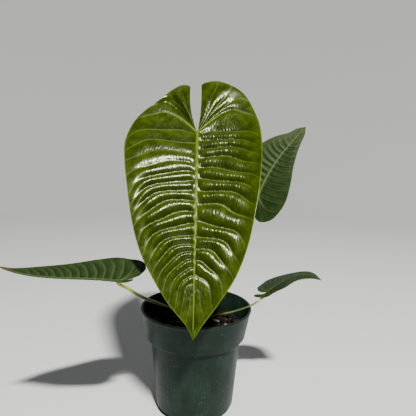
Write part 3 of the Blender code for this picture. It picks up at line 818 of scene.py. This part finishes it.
def front_lobes(row, across, x, y):
    """The lobes' inner edges curl back and the left lobe has a fold. The right lobe leans
    forward, and the right edge curls up below it."""
    s = np.abs(across)
    inner = np.clip(1 - row / (FAN * 0.30), 0, 1) ** 2
    rolled = -0.0018 * inner * step(s, 0.05, 0.7)
    swell = np.exp(-((row - FAN * 0.30) / (FAN * 0.13)) ** 2)
    crease = np.exp(-((row - FAN * 0.50) / (FAN * 0.10)) ** 2)
    folded = (0.0034 * swell - 0.0030 * crease) * step(s, 0.06, 0.35) * (1 - step(s, 0.75, 1))
    lobe = 1 - step(row, FAN * 0.45, FAN * 1.05)
    curl = np.where(x > 0, 0.075 - 0.125 * lobe, -0.02)
    margin = curl * np.abs(x) * np.clip((s - 0.45) / 0.55, 0, 1) ** 1.5
    cupped = np.where(x > 0, 0.07, 0) * np.maximum(-y - 0.008, 0)
    return rolled + margin + cupped + np.where(across < 0, folded, 0.25 * folded)


young = leaf_finish("young_leaf", (0.013, 0.030, 0.0001), (0.036, 0.062, 0.0002),
                    (0.105, 0.145, 0.003), (0.080, 0.130, 0.015), 0.40, 0.20, 0.10)
MATURE = dict(dark=(0.010, 0.025, 0.006), light=(0.020, 0.042, 0.011), vein=(0.085, 0.125, 0.035),
              back=(0.070, 0.130, 0.045), gloss=0.16, satin=0.44, net=0.12)
mature = leaf_finish("mature_leaf", **MATURE)
drying = leaf_finish("drying_leaf", **MATURE, line=(0.26, 0.34), dry_tip=True)
LEAF_FINISHES = {"front": young, "back": mature, "left": drying, "right": mature}
for name, leaf in LEAVES.items():
    bm = leaf_blade(leaf, front_lobes if name == "front" else None)
    piece(f"blade_{name}", bm, LEAF_FINISHES[name], f"leaf_{name}")

# ---------------------------------------------------------------------------------------------
# Petioles. One slender stalk carries each blade. It is sheathed and thick where it leaves the
# crown, slightly grooved on top, and swells into a yellow-green joint under the blade, whose own
# colour is made brighter as painted light.
STUB = 1.9                   # the straight end under a blade, in radii of its joint
SUNK = 0.35                  # how deep a stalk ends below its blade, in the same radii
PETIOLES = {
    "front": dict(
        route=((0.0015, 0.0005, 0.0965), (0.001, 0.012, 0.128), (0.000, 0.027, 0.180),
               (-0.001, 0.032, 0.235), (-0.0018, 0.024, 0.268)),
        radii=(0.0030, 0.0019), knuckle=0.0026,
    ),
    "back": dict(
        route=((0.0040, 0.0050, 0.0905), (0.013, 0.021, 0.112), (0.035, 0.043, 0.152),
               (0.054, 0.052, 0.190), (0.062, 0.050, 0.207)),
        radii=(0.0024, 0.0015), knuckle=0.0020,
    ),
    "left": dict(
        route=((-0.0060, -0.0032, 0.0900), (-0.021, -0.011, 0.1040), (-0.035, -0.025, 0.1165),
               (-0.050, -0.044, 0.1308), (-0.0600, -0.057, 0.1430)),
        radii=(0.0020, 0.0014), knuckle=0.0019,
    ),
    "right": dict(
        route=((0.0060, -0.0010, 0.0905), (0.023, -0.005, 0.0980), (0.040, -0.005, 0.1025),
               (0.055, -0.004, 0.1080), (0.067, 0.000, 0.1145)),
        radii=(0.0015, 0.0010), knuckle=0.0014,
    ),
}


def petiole_finish():
    """Flecked green skin, pale at the sheathed foot and yellow-green towards the joint, where the
    joint's own yellow-green is made brighter as painted light.
    """
    finish = Finish("petiole_skin", Specular_IOR_Level=0.5, Coat_Weight=0.15, Coat_Roughness=0.2)
    length = finish.read("lengthwise")
    streak = finish.noise(finish.place(), 700, 4, 0.6)
    cloud = finish.noise(finish.place(), 90, 3)
    green = finish.blend(finish.fit(cloud, 0.35, 0.65), (0.026, 0.058, 0.006), (0.060, 0.105, 0.010))
    # Painted light: the joint's own yellow-green is brightened to stand against the front leaf's shadow
    # on it.
    joint = finish.blend(finish.fit(length, 0.56, 0.66), green, (0.340, 0.430, 0.006))
    base = finish.blend(finish.fit(length, 0.0, 0.12, 0.75, 0.0), joint, (0.170, 0.190, 0.070))
    flecked = finish.blend(finish.fit(streak, 0.62, 0.74, 0.0, 0.4), base, (0.200, 0.260, 0.090))
    finish.wear(Base_Color=flecked, Roughness=finish.fit(cloud, 0.3, 0.7, 0.34, 0.46),
                Normal=finish.bump(streak, 0.00010, 0.5))
    return finish


def petiole(spec, leaf):
    """A stalk along its route that meets the underside of its blade squarely."""
    joint = lay(leaf, np.zeros(1), np.zeros(1), np.zeros(1))[0]
    out = lay(leaf, np.zeros(1), np.zeros(1), np.ones(1))[0] - joint
    knuckle, (thick, thin) = spec["knuckle"], spec["radii"]
    route = [*spec["route"], joint - out * knuckle * STUB, joint - out * knuckle * SUNK]

    def radius(share, turn):
        base = np.interp(share, (0, 0.05, 0.14, 0.78, 0.83, 0.90, 0.96, 1),
                         (thick, thick, thin * 1.12, thin, thin * 1.02, knuckle, knuckle * 0.96,
                          knuckle * 0.70))
        groove = 1 - 0.10 * np.exp(-(np.minimum(turn, 1 - turn) / 0.07) ** 2)
        ring = 1 - 0.06 * np.exp(-((share - 0.835) / 0.008) ** 2)
        return base * groove * ring

    bm = bmesh.new()
    add_tube(bm, along(route, np.linspace(0, 1, 140)), radius, 32, (0.2, -0.6, 0.77))
    close_tubes(bm)
    return bm


stalk = petiole_finish()
for name, spec in PETIOLES.items():
    piece(f"stalk_{name}", petiole(spec, LEAVES[name]), stalk, f"petiole_{name}")

# ---------------------------------------------------------------------------------------------
# Studio. A pale round floor that curves up into a wall all round, a warm key light high at the
# front right, a broad soft light overhead and a weak fill.
FLOOR_FLAT = 1.3
FLOOR_SWEEP = 1.2
FLOOR_WALL = 3.0
KEY_DISTANCE = 2.2


def floor():
    """A paper sweep, pale under and behind the plant, with painted shade far out at its sides and in
    front that stands for unlit surroundings.
    """
    profile = [(0, 0), (FLOOR_FLAT, 0)]
    for share in np.linspace(0.05, 1, 20):
        profile.append((FLOOR_FLAT + FLOOR_SWEEP * sin(share * pi / 2),
                        FLOOR_SWEEP * (1 - cos(share * pi / 2))))
    profile.append((FLOOR_FLAT + FLOOR_SWEEP, FLOOR_WALL))
    paper = Finish("studio_paper", Roughness=0.9, Specular_IOR_Level=0.1)
    place = paper.add("SeparateXYZ", {0: paper.place()})
    beside = paper.add("Math", {0: place.outputs["X"]}, operation="ABSOLUTE").outputs[0]
    lit_toward_back = paper.sum(place.outputs["Y"], paper.times(beside, -1.4))
    # Painted shade: the paper fades to near black towards the front and the far sides.
    paper.wear(Base_Color=paper.blend(paper.fit(lit_toward_back, -1.6, -0.6), (0.05, 0.05, 0.05),
                                      (0.77, 0.80, 0.81)))
    shown("studio_floor", turned(profile, 96), paper)


def light(name, place, aim, size, power, colour):
    """An oval area light that faces its aim."""
    lamp = bpy.data.lights.new(name, "AREA")
    lamp.shape = "ELLIPSE"
    lamp.size, lamp.size_y = size
    lamp.energy = power
    lamp.color = colour
    obj = bpy.data.objects.new(name, lamp)
    obj.location = place
    obj.rotation_euler = (Vector(aim) - Vector(place)).to_track_quat("-Z", "Y").to_euler()
    bpy.context.scene.collection.objects.link(obj)


floor()
aim = Vector((0, 0, 0.17))
sun_way = Vector((0.167, -0.611, 0.774)).normalized()
light("key", aim + sun_way * KEY_DISTANCE, aim, (0.24, 0.10), 105, (1.0, 0.96, 0.90))
light("overhead", (0.0, 0.5, 2.3), (0, 0, 0), (1.2, 1.2), 1.8, (0.92, 0.96, 1.0))
light("fill", (-1.6, -0.5, 0.7), aim, (0.8, 0.8), 0.4, (0.95, 0.97, 1.0))

world = bpy.data.worlds.new("studio_air")
world.use_nodes = True
world.node_tree.nodes["Background"].inputs["Color"].default_value = (0.80, 0.86, 0.92, 1)
world.node_tree.nodes["Background"].inputs["Strength"].default_value = 0.022
bpy.context.scene.world = world

# Camera: 0.26 m up and 0.40 m from the middle of the pot, looking slightly down.
CAMERA_PLACE = (0, -0.400, 0.262)
CAMERA_PITCH, CAMERA_YAW, CAMERA_ROLL = radians(-7.86), radians(1.40), radians(1.28)
VIEW_ANGLE = radians(54)
ahead = Vector((sin(CAMERA_YAW) * cos(CAMERA_PITCH), cos(CAMERA_YAW) * cos(CAMERA_PITCH),
                sin(CAMERA_PITCH)))
right = Vector((cos(CAMERA_YAW), -sin(CAMERA_YAW), 0))
over = right.cross(ahead)
tilted_right = right * cos(CAMERA_ROLL) + over * sin(CAMERA_ROLL)
tilted_over = over * cos(CAMERA_ROLL) - right * sin(CAMERA_ROLL)
lens = bpy.data.cameras.new("camera")
lens.lens = lens.sensor_width / 2 / tan(VIEW_ANGLE / 2)
camera = bpy.data.objects.new("camera", lens)
camera.matrix_world = Matrix.Translation(CAMERA_PLACE) @ Matrix(
    (tilted_right, tilted_over, -ahead)).transposed().to_4x4()
bpy.context.scene.collection.objects.link(camera)
bpy.context.scene.camera = camera
